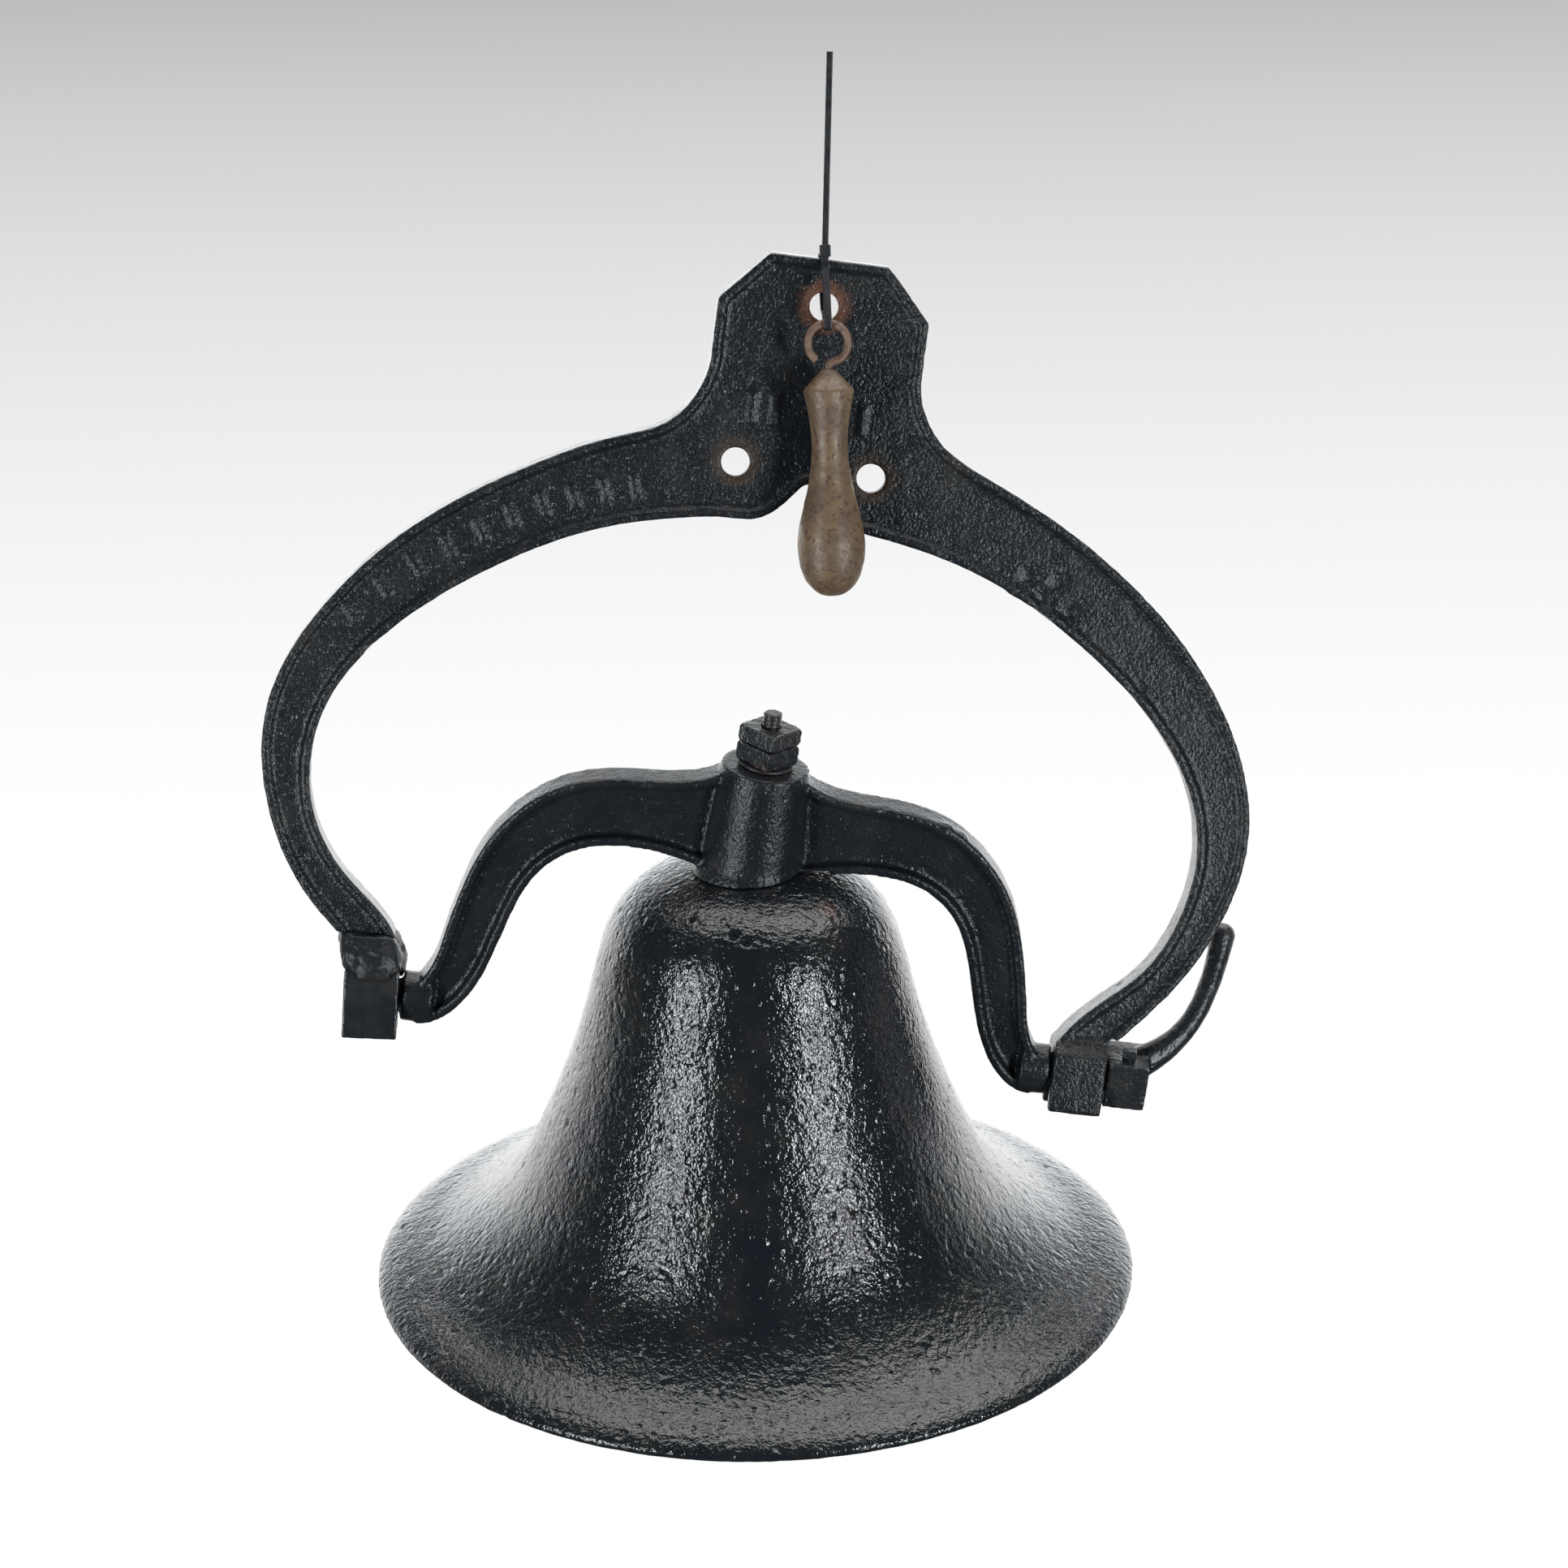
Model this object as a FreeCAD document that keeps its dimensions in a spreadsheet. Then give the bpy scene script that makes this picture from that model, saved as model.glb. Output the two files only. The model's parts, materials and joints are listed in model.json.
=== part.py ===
import FreeCAD, Part
import math
import os
from FreeCAD import Placement, Rotation, Vector

# A yard dinner bell: a cast bell bolted under a cast yoke, whose trunnions turn in the two
# bearings of a cast harp-shaped bracket. Its clapper is unhooked and hangs from the bracket's
# top hole on a cable tie.
#
# Model frame: millimetres, +Z up, the bell plumb, the trunnions along X, the crank at +X.
# The origin is the centre of the bracket's lower bolt hole on the crank side.
#
# Three local frames are used. The bracket frame and the yoke frame both start at the middle of
# the trunnion axis: X along the trunnions, Z towards the plate or up the yoke's boss. The bell
# frame starts where the bell's axis meets its crown.

doc = FreeCAD.newDocument("yard_dinner_bell")
sheet = doc.addObject("Spreadsheet::Sheet", "dims")

DRIVING = [
    ("side_tilt", 8.3, "yoke and bracket lean to the crank side of the plumb bell, degrees"),
    ("lean_back", 15.0, "bracket leans back from the yoke, degrees"),
    ("plate_shift", 2.0, "plate and holes sit off the trunnions' middle"),
    ("plate_top", 384.3, "plate's top edge above the trunnion axis"),
    ("plate_top_half", 29.0, "half the plate's straight top edge"),
    ("plate_half", 51.6, "half the plate's width"),
    ("plate_corner", 359.5, "foot of the plate's clipped corners"),
    ("plate_neck", 336.0, "where the plate's straight sides end"),
    ("notch_shift", 5.5, "notch's middle, off the trunnions' middle"),
    ("casting_front", 10.0, "bracket's front rim ahead of the trunnion axis"),
    ("casting_back", 12.0, "bracket's back rim behind the trunnion axis"),
    ("web_front", 7.4, "bracket's web face ahead of the trunnion axis"),
    ("web_thick", 8.0, "thickness of the bracket's web"),
    ("rim_width", 4.6, "width of the rims along the bracket's edges"),
    ("hole_radius", 6.9, "post bolt holes"),
    ("hole_top", 361.3, "top hole above the trunnion axis"),
    ("hole_low", 281.6, "two lower holes above the trunnion axis"),
    ("hole_half", 33.2, "half the spacing of the lower holes"),
    ("box_inner", 162.0, "bearing's inner face from the middle"),
    ("box_outer", 188.5, "bearing's outer face from the middle"),
    ("box_half_deep", 16.0, "half the depth of a bearing"),
    ("box_foot", 18.5, "bearing's cheeks below the trunnion axis"),
    ("box_shoulder", 10.5, "flat front of the bearing above the axis"),
    ("box_crest", 16.5, "top of the bearing's sloped shoulder above the axis"),
    ("repair_cut", 29.0, "saw cut across the left arm, above the trunnion axis"),
    ("repair_wide", 27.0, "replacement left bearing's width"),
    ("repair_top", 13.0, "replacement bearing above the trunnion axis"),
    ("repair_foot", 21.0, "replacement bearing below the trunnion axis"),
    ("repair_skew", 4.0, "replacement bearing's crooked turn, degrees"),
    ("repair_out", 1.0, "replacement bearing stands outwards of the right bearing's match"),
    ("trunnion_radius", 8.0, "yoke's trunnions"),
    ("bearing_clear", 0.08, "radial clearance round a trunnion"),
    ("collar_radius", 12.5, "round collar at each end of the yoke"),
    ("collar_start", 146.0, "collar's inner end from the middle"),
    ("collar_gap", 0.8, "side play between a collar and its bearing"),
    ("trunnion_root", 4.0, "length of a trunnion buried in its collar"),
    ("boss_foot", 90.8, "crown seat above the trunnion axis, along the boss"),
    ("boss_top", 145.6, "top of the boss above the trunnion axis"),
    ("boss_top_radius", 21.6, "boss at its top"),
    ("boss_low_radius", 24.6, "boss above its flared foot"),
    ("boss_foot_radius", 29.5, "boss's flared foot"),
    ("boss_flare", 9.0, "height of the boss's flare"),
    ("seat_wide", 78.0, "width of the cut that levels the boss's foot"),
    ("yoke_flange", 17.0, "depth of the yoke arms' flanges"),
    ("yoke_web", 7.0, "thickness of the yoke arms' web"),
    ("yoke_rim", 5.0, "thickness of the yoke arms' flanges"),
    ("lip_radius", 190.5, "bell's lip, a 15 inch bell"),
    ("bell_height", 222.5, "bell from lip to crown"),
    ("bell_wall", 7.0, "bell's wall at the waist"),
    ("crown_wall", 9.0, "bell's wall at the crown"),
    ("crown_hole", 7.0, "hole through the crown"),
    ("bolt_radius", 4.8, "clapper bolt"),
    ("bolt_top", 173.0, "bolt's top above the trunnion axis"),
    ("bolt_clear", 0.3, "clearance of the bolt in washers and nuts"),
    ("nut_half", 11.0, "half a nut's width across flats"),
    ("lower_nut_high", 10.0, "lower nut"),
    ("jam_nut_high", 8.8, "upper nut"),
    ("washer_radius", 13.5, "washer under the nuts"),
    ("washer_thick", 1.6, "thickness of that washer"),
    ("bevel_radius", 16.0, "bevelled washer inside the crown"),
    ("bevel_thick", 6.0, "bevelled washer at its middle"),
    ("collar_thick", 5.0, "forged collar of the clapper bolt"),
    ("eye_radius", 12.0, "clapper bolt's eye, to the middle of its bar"),
    ("eye_bar", 4.0, "radius of the eye's bar"),
    ("eye_sunk", 2.0, "how far the eye runs into the collar"),
    ("hub_inner", 189.6, "crank hub's inner face from the middle"),
    ("hub_outer", 210.5, "crank hub's outer face from the middle"),
    ("hub_high", 24.0, "crank hub's height"),
    ("hub_ahead", 11.5, "crank hub ahead of the trunnion axis"),
    ("hub_behind", 17.0, "crank hub behind the trunnion axis"),
    ("hub_room", 22.0, "room the bracket leaves round the turning hub"),
    ("screw_head", 6.4, "set screw's square head"),
    ("screw_head_high", 4.6, "height of that head"),
    ("screw_ahead", 3.0, "set screw ahead of the trunnion axis"),
    ("screw_proud", 1.0, "head's underside above the hub"),
    ("screw_radius", 3.1, "set screw's shank"),
    ("ring_radius", 9.65, "clapper hook's ring, to the middle of its wire"),
    ("wire_radius", 2.1, "clapper hook's wire"),
    ("clapper_front", 24.0, "clapper hook ahead of the trunnion axis"),
    ("clapper_high", 345.1, "middle of the hook's ring above the trunnion axis"),
    ("clapper_shift", 4.8, "middle of the hook's ring, off the trunnions' middle"),
    ("clapper_lean", 1.2, "clapper leans on the plate, degrees from the plate's face"),
    ("cone_top", 12.0, "top of the clapper's cone below the middle of its ring"),
    ("shank_long", 9.0, "length of the hook's straight shank, inside the cone"),
    ("strap_width", 3.7, "cable tie's strap"),
    ("strap_thick", 1.2, "thickness of that strap"),
    ("tail_length", 96.0, "free tail above the cable tie's head"),
    ("tail_lean", 2.3, "tail leans to the crank side, degrees"),
    ("tail_width", 3.1, "width of that tail"),
    ("head_wide", 5.4, "cable tie's head, side to side"),
    ("head_deep", 5.2, "cable tie's head, front to back"),
    ("head_high", 5.6, "cable tie's head, height"),
    ("head_drop", 1.6, "cable tie's head below the loop's front corner"),
]
for row, (alias, value, note) in enumerate(DRIVING, start=1):
    sheet.set(f"A{row}", alias)
    sheet.set(f"B{row}", str(value))
    sheet.set(f"C{row}", note)
    sheet.setAlias(f"B{row}", alias)
doc.recompute()


def dim(alias):
    return float(sheet.get(alias))


def bind(item, **expressions):
    """Tie properties of item to cells, each word of an expression being an alias."""
    for prop, text in expressions.items():
        words = text.replace("(", " ( ").replace(")", " ) ").split()
        names = {alias for alias, _, _ in DRIVING}
        item.setExpression(prop, " ".join(f"dims.{w}" if w in names else w for w in words))
    return item


# ---------------------------------------------------------------- frames

YOKE_TURN = Rotation(Vector(0, 1, 0), dim("side_tilt"))
BRACKET_TURN = YOKE_TURN * Rotation(Vector(1, 0, 0), -dim("lean_back"))
web_middle = dim("web_thick") / 2 - dim("web_front")
crank_side_hole = Vector(dim("plate_shift") + dim("hole_half"), web_middle, dim("hole_low"))
pivot = BRACKET_TURN.multVec(crank_side_hole) * -1
crown = pivot + YOKE_TURN.multVec(Vector(0, 0, dim("boss_foot")))

BRACKET = Placement(pivot, BRACKET_TURN)
YOKE = Placement(pivot, YOKE_TURN)
BELL = Placement(crown, Rotation())
UPRIGHT_SKETCH = Placement(Vector(), Rotation(Vector(1, 0, 0), 90))


# ---------------------------------------------------------------- building blocks

def named(kind, label):
    item = doc.addObject(kind, label)
    item.Label = label
    return item


def cylinder(label, at, axis=Vector(0, 0, 1), **sizes):
    item = bind(named("Part::Cylinder", label), **sizes)
    item.Placement = Placement(at, Rotation(Vector(0, 0, 1), axis))
    return item


def cone(label, at, **sizes):
    item = bind(named("Part::Cone", label), **sizes)
    item.Placement = Placement(at, Rotation())
    return item


def box(label, at, **sizes):
    item = bind(named("Part::Box", label), **sizes)
    item.Placement = Placement(at, Rotation())
    return item


def fuse(label, *items):
    item = named("Part::MultiFuse", label)
    item.Shapes = list(items)
    return item


def cut(label, base, tool):
    item = named("Part::Cut", label)
    item.Base = base
    item.Tool = tool
    return item


def common(label, first, second):
    item = named("Part::Common", label)
    item.Base = first
    item.Tool = second
    return item


def curve_through(points):
    """A line through two points, a smooth curve through more."""
    spots = [Vector(x, y, 0) for x, y in points]
    if len(spots) == 2:
        return Part.LineSegment(*spots)
    curve = Part.BSplineCurve()
    curve.interpolate(spots)
    return curve


def outline(label, pieces, placement=UPRIGHT_SKETCH):
    """A closed sketch; each piece is a list of points: two make a line, more a smooth curve."""
    sketch = named("Sketcher::SketchObject", label)
    sketch.Placement = placement
    for points in pieces:
        sketch.addGeometry(curve_through(points), False)
    return sketch


def directions(points):
    """Unit tangent of a piece at each of its points."""
    curve = curve_through(points)
    tangents = []
    for x, y in points:
        along = curve.parameter(Vector(x, y, 0))
        tangents.append(Vector(*curve.tangent(along)[0]).normalize())
    return tangents


def inset(pieces, width):
    """The same closed, clockwise outline moved inwards by width, piece for piece."""
    tangents = [directions(points) for points in pieces]
    moved = []
    for i, points in enumerate(pieces):
        before = tangents[i - 1][-1]
        after = tangents[(i + 1) % len(pieces)][0]
        line = []
        for k, (x, y) in enumerate(points):
            first = before if k == 0 else tangents[i][k]
            second = after if k == len(points) - 1 else tangents[i][k]
            inward = Vector(first.y + second.y, -first.x - second.x, 0)
            reach = width / (1 + first.dot(second))
            line.append((x + inward.x * reach, y + inward.y * reach))
        moved.append(line)
    return moved


def extrude(label, sketch, ahead, behind):
    """Solid from a sketch in the XZ plane, reaching ahead (towards -Y) and behind (+Y)."""
    item = named("Part::Extrusion", label)
    item.Base = sketch
    item.DirMode = "Normal"
    item.Solid = True
    return bind(item, LengthFwd=ahead, LengthRev=behind)


def revolve(label, pieces):
    """Solid turned about Z from a closed sketch of (radius, height) pieces."""
    item = named("Part::Revolution", label)
    item.Source = outline(label + "_profile", pieces)
    item.Axis = Vector(0, 0, 1)
    item.Angle = 360
    item.Solid = True
    return item


def mirror_x(points):
    return [(-x, y) for x, y in reversed(points)]


def closed(points):
    """Straight pieces round a list of corners."""
    return [[points[i - 1], points[i]] for i in range(len(points))]


# ---------------------------------------------------------------- bracket

# Both sides are given as distances from the trunnions' middle; the casting isn't quite even.
RIGHT_OUTER = [
    (57.5, 316), (68, 302), (93.5, 288), (122.5, 274.5), (161.8, 250.8), (197.8, 220),
    (225, 184.5), (240, 150), (243.6, 120), (237.5, 89), (223, 57.5), (205, 33), (188.5, 14),
]
LEFT_OUTER = [
    (53.5, 314), (65, 298.5), (92, 286.5), (121, 273), (160, 249.5), (196, 219.5), (224, 184),
    (240, 150), (243.6, 120), (237.5, 89), (223, 58.5), (205, 37), (195, 27), (190, 14),
]
INNER_SWEEP = [(214, 140), (194.5, 172.3), (148.5, 212), (91, 242), (53, 251.5), (36.5, 254)]
RIGHT_INNER = [(162, 14), (182, 38), (200, 55), (214, 82), (219, 110)] + INNER_SWEEP
LEFT_INNER = [
    (162, 14), (164.5, 24), (169, 33), (179, 44), (197, 60), (212.5, 83), (218.5, 110),
] + INNER_SWEEP
NOTCH = [(31, 254.3), (24, 255.2), (17, 258.5), (10, 265), (5, 271.3), (0, 275)]


def bracket_outline():
    shift = dim("plate_shift")
    half = dim("plate_half")
    neck = (half, dim("plate_neck"))
    right_outer = [(neck[0] + shift, neck[1])] + RIGHT_OUTER
    left_outer = mirror_x([(neck[0] - shift, neck[1])] + LEFT_OUTER)
    left_inner = mirror_x(LEFT_INNER)
    notch = dim("notch_shift")
    right_notch = [(x + notch, z) for x, z in NOTCH]
    left_notch = [(notch - x, z) for x, z in reversed(NOTCH)]
    top = dim("plate_top")
    corner = dim("plate_corner")
    shoulders = [
        left_outer[-1], (shift - half, corner), (shift - dim("plate_top_half"), top),
        (shift + dim("plate_top_half"), top), (shift + half, corner), right_outer[0],
    ]
    pieces = [[shoulders[i], shoulders[i + 1]] for i in range(len(shoulders) - 1)]
    pieces += [right_outer, [right_outer[-1], RIGHT_INNER[0]], RIGHT_INNER]
    pieces += [[RIGHT_INNER[-1], right_notch[0]], right_notch[:-1] + left_notch]
    pieces += [[left_notch[-1], left_inner[0]], left_inner]
    pieces += [[left_inner[-1], left_outer[0]], left_outer]
    return pieces


def bearing(label, inner_face):
    """A bearing block with sloped shoulders, and the slot, open at its foot, to cut from it."""
    deep = dim("box_half_deep")
    foot = -dim("box_foot")
    front = dim("casting_front")
    corners = [(-deep, foot), (deep, foot), (deep, dim("box_shoulder")),
               (dim("casting_back"), dim("box_crest")), (-front, dim("box_crest")),
               (-deep, dim("box_shoulder"))]
    side = outline(label + "_side", closed(corners),
                   Placement(Vector(inner_face, 0, 0), Rotation(Vector(1, 1, 1), 120)))
    block = named("Part::Extrusion", label + "_block")
    block.Base = side
    block.DirMode = "Normal"
    block.Solid = True
    bind(block, LengthFwd="box_outer - box_inner")
    bore = cylinder(label + "_bore", Vector(inner_face, 0, 0), Vector(1, 0, 0),
                    Radius="trunnion_radius + bearing_clear", Height="box_outer - box_inner")
    half_slot = dim("trunnion_radius") + dim("bearing_clear")
    slot = box(label + "_slot", Vector(inner_face, -half_slot, foot),
               Length="box_outer - box_inner", Width="( trunnion_radius + bearing_clear ) * 2",
               Height="box_foot")
    return block, fuse(label + "_opening", bore, slot)


def left_arm_end():
    """The broken end of the left arm, below the saw cut where the repair was welded on."""
    corner = Vector(-dim("lip_radius") * 1.5, -dim("casting_front") * 2, -dim("repair_cut"))
    return box("left_arm_end", corner, Length="lip_radius", Width="casting_front * 5",
               Height="repair_cut * 2")


def hanger_bracket():
    edge = bracket_outline()
    shape = outline("bracket_outline", edge)
    casting = extrude("bracket_blank", shape, "casting_front", "casting_back")
    field = outline("bracket_field", inset(edge, dim("rim_width")))
    front_field = extrude("bracket_front_field", field, "casting_front", "0 - web_front")
    back_field = extrude("bracket_back_field", field, "web_front - web_thick",
                         "casting_back")
    holes = []
    low = dim("hole_low")
    spots = [(0, dim("hole_top")), (-dim("hole_half"), low), (dim("hole_half"), low)]
    for number, (x, z) in enumerate(spots, start=1):
        holes.append(cylinder(f"post_hole_{number}",
                              Vector(x + dim("plate_shift"), dim("casting_back"), z),
                              Vector(0, -1, 0),
                              Radius="hole_radius", Height="casting_front + casting_back"))
    block, opening = bearing("crank_bearing", dim("box_inner"))
    room = cylinder("hub_room", Vector(dim("box_outer"), 0, 0), Vector(1, 0, 0),
                    Radius="hub_room", Height="hub_outer - box_outer")
    voids = fuse("bracket_voids", front_field, back_field, left_arm_end(), room, *holes)
    body = fuse("bracket_solid", cut("bracket_dished", casting, voids), block)
    part = cut("hanger_bracket", body, opening)
    part.Placement = BRACKET
    return part


REPAIR_MIDDLE = -(dim("box_inner") + dim("box_outer")) / 2 - dim("repair_out")


def repair_block(label):
    """The sawn block as it was welded on, a little crooked, before its slot."""
    turn = Rotation(Vector(0, 1, 0), -dim("repair_skew"))
    corner = Vector(-dim("repair_wide") / 2, -dim("box_half_deep"), -dim("repair_foot"))
    block = box(label, Vector(), Length="repair_wide", Width="box_half_deep * 2",
                Height="repair_foot + repair_top")
    block.Placement = Placement(Vector(REPAIR_MIDDLE, 0, 0) + turn.multVec(corner), turn)
    return block


def repair_bearing():
    """The replacement left bearing: a sawn steel block, slotted for the trunnion."""
    inner = REPAIR_MIDDLE - dim("repair_wide")
    bore = cylinder("repair_bore", Vector(inner, 0, 0), Vector(1, 0, 0),
                    Radius="trunnion_radius + bearing_clear", Height="repair_wide * 2")
    half_slot = dim("trunnion_radius") + dim("bearing_clear")
    slot = box("repair_slot", Vector(inner, -half_slot, -2 * dim("repair_foot")),
               Length="repair_wide * 2", Width="( trunnion_radius + bearing_clear ) * 2",
               Height="repair_foot * 2")
    part = cut("repair_bearing", repair_block("repair_blank"),
               fuse("repair_opening", bore, slot))
    part.Placement = BRACKET
    return part


# The bead's rings: height above the trunnion axis, shift outwards, half width, half depth.
BEAD_RINGS = [
    (8.6, 0, 12.2, 16.9), (12, 0.3, 13.6, 18), (17, 1.2, 14.8, 18.2), (23.5, 3, 15, 15.5),
    (29, 4.5, 13.8, 13),
]
BEAD_FULLNESS = 1.18


def oval(middle, half_wide, half_deep):
    """A smooth closed wire round an upright axis, between an ellipse and a rectangle."""
    spots = []
    for degrees in range(0, 360, 45):
        turn = math.radians(degrees)
        full = BEAD_FULLNESS if degrees % 90 else 1
        spots.append(middle + Vector(half_wide * math.cos(turn), half_deep * math.sin(turn), 0)
                     * full)
    curve = Part.BSplineCurve()
    curve.interpolate(spots, PeriodicFlag=True)
    return Part.Wire(curve.toShape())


def weld_bead():
    """The built-up weld between the sawn arm and the replacement bearing."""
    rings = []
    for level, out, half_wide, half_deep in BEAD_RINGS:
        rings.append(oval(Vector(REPAIR_MIDDLE - out, 0, level), half_wide, half_deep))
    bead = named("Part::Feature", "bead_blank")
    bead.Shape = Part.makeLoft(rings, True)
    part = cut("weld_bead", bead, repair_block("bead_seat"))
    part.Placement = BRACKET
    return part


# ---------------------------------------------------------------- yoke

YOKE_TOP = [
    (22, 140.5), (36, 135.2), (62, 132.6), (90, 127.2), (113, 112.3), (131, 86.8), (139, 62.8),
    (144, 40), (148, 22), (153, 12),
]
YOKE_LOW = [
    (153, -11.5), (143, -8.5), (131, 3.5), (121, 25), (112.5, 55), (102, 78), (86, 91.5),
    (66, 96.5), (45, 95.5), (26, 91),
]


def yoke_outline():
    pieces = [[mirror_x(YOKE_TOP)[-1], YOKE_TOP[0]], YOKE_TOP, [YOKE_TOP[-1], YOKE_LOW[0]]]
    pieces += [YOKE_LOW, [YOKE_LOW[-1], mirror_x(YOKE_LOW)[0]], mirror_x(YOKE_LOW)]
    pieces += [[mirror_x(YOKE_LOW)[-1], mirror_x(YOKE_TOP)[0]], mirror_x(YOKE_TOP)]
    return pieces


def yoke():
    edge = yoke_outline()
    arms = extrude("yoke_blank", outline("yoke_outline", edge), "yoke_flange / 2",
                   "yoke_flange / 2")
    field = outline("yoke_field", inset(edge, dim("yoke_rim")))
    front_field = extrude("yoke_front_field", field, "yoke_flange", "0 - yoke_web / 2")
    back_field = extrude("yoke_back_field", field, "0 - yoke_web / 2", "yoke_flange")
    dished = cut("yoke_arms", arms, fuse("yoke_fields", front_field, back_field))
    flare = dim("boss_flare")
    foot = dim("boss_foot") - flare / 2
    boss = cone("yoke_boss", Vector(0, 0, foot + flare), Radius1="boss_low_radius",
                Radius2="boss_top_radius", Height="boss_top - boss_foot - boss_flare / 2")
    low = cone("yoke_boss_foot", Vector(0, 0, foot), Radius1="boss_foot_radius",
               Radius2="boss_low_radius", Height="boss_flare")
    ends = []
    root = dim("box_inner") - dim("collar_gap") - dim("trunnion_root")
    tips = {"left": (-1, "box_outer"), "right": (1, "hub_outer")}
    for name, (side, tip) in tips.items():
        outwards = Vector(side, 0, 0)
        ends.append(cylinder(f"yoke_collar_{name}", outwards * dim("collar_start"), outwards,
                             Radius="collar_radius",
                             Height="box_inner - collar_gap - collar_start"))
        ends.append(cylinder(f"trunnion_{name}", outwards * root, outwards,
                             Radius="trunnion_radius",
                             Height=f"{tip} - 1 - box_inner + collar_gap + trunnion_root"))
    solid = fuse("yoke_solid", dished, boss, low, *ends)
    bore = cylinder("yoke_bore", Vector(), Radius="bolt_radius + bolt_clear",
                    Height="boss_top + washer_thick")
    level = YOKE_TURN.inverted()
    half = dim("seat_wide") / 2
    seat = box("crown_seat", Vector(), Length="seat_wide", Width="seat_wide",
               Height="seat_wide / 2")
    seat.Placement = Placement(
        Vector(0, 0, dim("boss_foot")) + level.multVec(Vector(-half, -half, -half)), level)
    part = cut("yoke", solid, fuse("yoke_cuts", bore, seat))
    part.Placement = YOKE
    return part


# ---------------------------------------------------------------- bell and its bolt

BELL_OUTER = [
    (190.5, 4), (184, 8.5), (166, 15.5), (148, 26), (127, 45), (112, 70), (98.8, 100), (88, 130),
    (79.7, 160), (73.4, 185), (65, 203), (52, 214.3), (38, 220),
]
BELL_INNER = [
    (23, 0), (42, -4), (55.5, -14.5), (66, -36), (72.7, -62.5), (81, -92.5), (91.6, -122.5),
    (104.5, -152.5), (118.5, -177), (138, -196), (159, -208.5), (181, -219.5),
]


def bell():
    drop = dim("bell_height")
    outer = [(r, z - drop) for r, z in BELL_OUTER] + [(26, 0)]
    inner = [(r, z - dim("crown_wall")) for r, z in BELL_INNER[:3]] + BELL_INNER[3:]
    hole = dim("crown_hole")
    lip = [inner[-1], (184, -drop), (188.5, -drop), outer[0]]
    pieces = [outer, [outer[-1], (hole, 0)], [(hole, 0), (hole, inner[0][1])],
              [(hole, inner[0][1]), inner[0]], inner, lip]
    part = revolve("bell", pieces)
    part.Placement = BELL
    return part


def crown_underside():
    """Distance along the bolt from the crown's outer face to its inner face."""
    return dim("crown_wall") / math.cos(math.radians(dim("side_tilt")))


def clapper_bolt():
    collar_top = dim("boss_foot") - crown_underside() - dim("bevel_thick")
    foot = collar_top - dim("collar_thick")
    shank = cylinder("bolt_shank", Vector(0, 0, foot), Radius="bolt_radius",
                     Height=f"bolt_top - {foot}")
    collar = cylinder("bolt_collar", Vector(0, 0, foot), Radius="bevel_radius - 3",
                      Height="collar_thick")
    eye = bind(named("Part::Torus", "bolt_eye"), Radius1="eye_radius", Radius2="eye_bar")
    drop = dim("eye_radius") + dim("eye_bar") - dim("eye_sunk")
    eye.Placement = Placement(Vector(0, 0, foot - drop), Rotation(Vector(0, 1, 0), 90))
    part = fuse("clapper_bolt", shank, collar, eye)
    part.Placement = YOKE
    return part


def bevel_washer():
    """Round washer inside the crown, level on top and square to the leaning bolt below."""
    low = dim("boss_foot") - crown_underside() - dim("bevel_thick")
    blank = cylinder("bevel_blank", Vector(0, 0, low), Radius="bevel_radius",
                     Height="bevel_thick * 2")
    bore = cylinder("bevel_bore", Vector(0, 0, low - 1), Radius="bolt_radius + bolt_clear",
                    Height="bevel_thick * 3")
    level = YOKE_TURN.inverted()
    half = dim("seat_wide") / 2
    crest = box("bevel_crest", Vector(), Length="seat_wide", Width="seat_wide",
                Height="seat_wide / 2")
    crest.Placement = Placement(
        Vector(0, 0, low + dim("bevel_thick")) + level.multVec(Vector(-half, -half, 0)), level)
    part = cut("bevel_washer", blank, fuse("bevel_cuts", bore, crest))
    part.Placement = YOKE
    return part


def boss_washer():
    base = dim("boss_top")
    disc = cylinder("washer_disc", Vector(0, 0, base), Radius="washer_radius",
                    Height="washer_thick")
    bore = cylinder("washer_bore", Vector(0, 0, base - 1), Radius="bolt_radius + bolt_clear",
                    Height="washer_thick + 2")
    part = cut("boss_washer", disc, bore)
    part.Placement = YOKE
    return part


def square_nut(label, base, height, turn):
    """A square nut with its corners rounded off by a cone above and below."""
    high = dim(height)
    half = dim("nut_half")
    block = box(label + "_block", Vector(), Length="nut_half * 2", Width="nut_half * 2",
                Height=height)
    rotation = Rotation(Vector(0, 0, 1), turn)
    block.Placement = Placement(Vector(0, 0, base) + rotation.multVec(Vector(-half, -half, 0)),
                                rotation)
    worn = "nut_half * 1.3"
    full = "nut_half * 1.62"
    rounds = [
        cone(label + "_low", Vector(0, 0, base), Radius1=worn, Radius2=full,
             Height=f"{height} / 2"),
        cone(label + "_high", Vector(0, 0, base + high / 2), Radius1=full, Radius2=worn,
             Height=f"{height} / 2"),
    ]
    rounded = common(label + "_rounded", block, fuse(label + "_cones", *rounds))
    bore = cylinder(label + "_bore", Vector(0, 0, base - 1), Radius="bolt_radius",
                    Height=f"{height} + 2")
    part = cut(label, rounded, bore)
    part.Placement = YOKE
    return part


# ---------------------------------------------------------------- crank

LEVER_PATH = [
    (203, 6, 3), (214, 9, 10), (226.5, 15, 20.5), (236.5, 26, 37), (241, 36.5, 51), (243, 45, 63),
]
LEVER_RADII = [8, 7.4, 5.8, 5.4, 5.7, 6.6]


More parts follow.
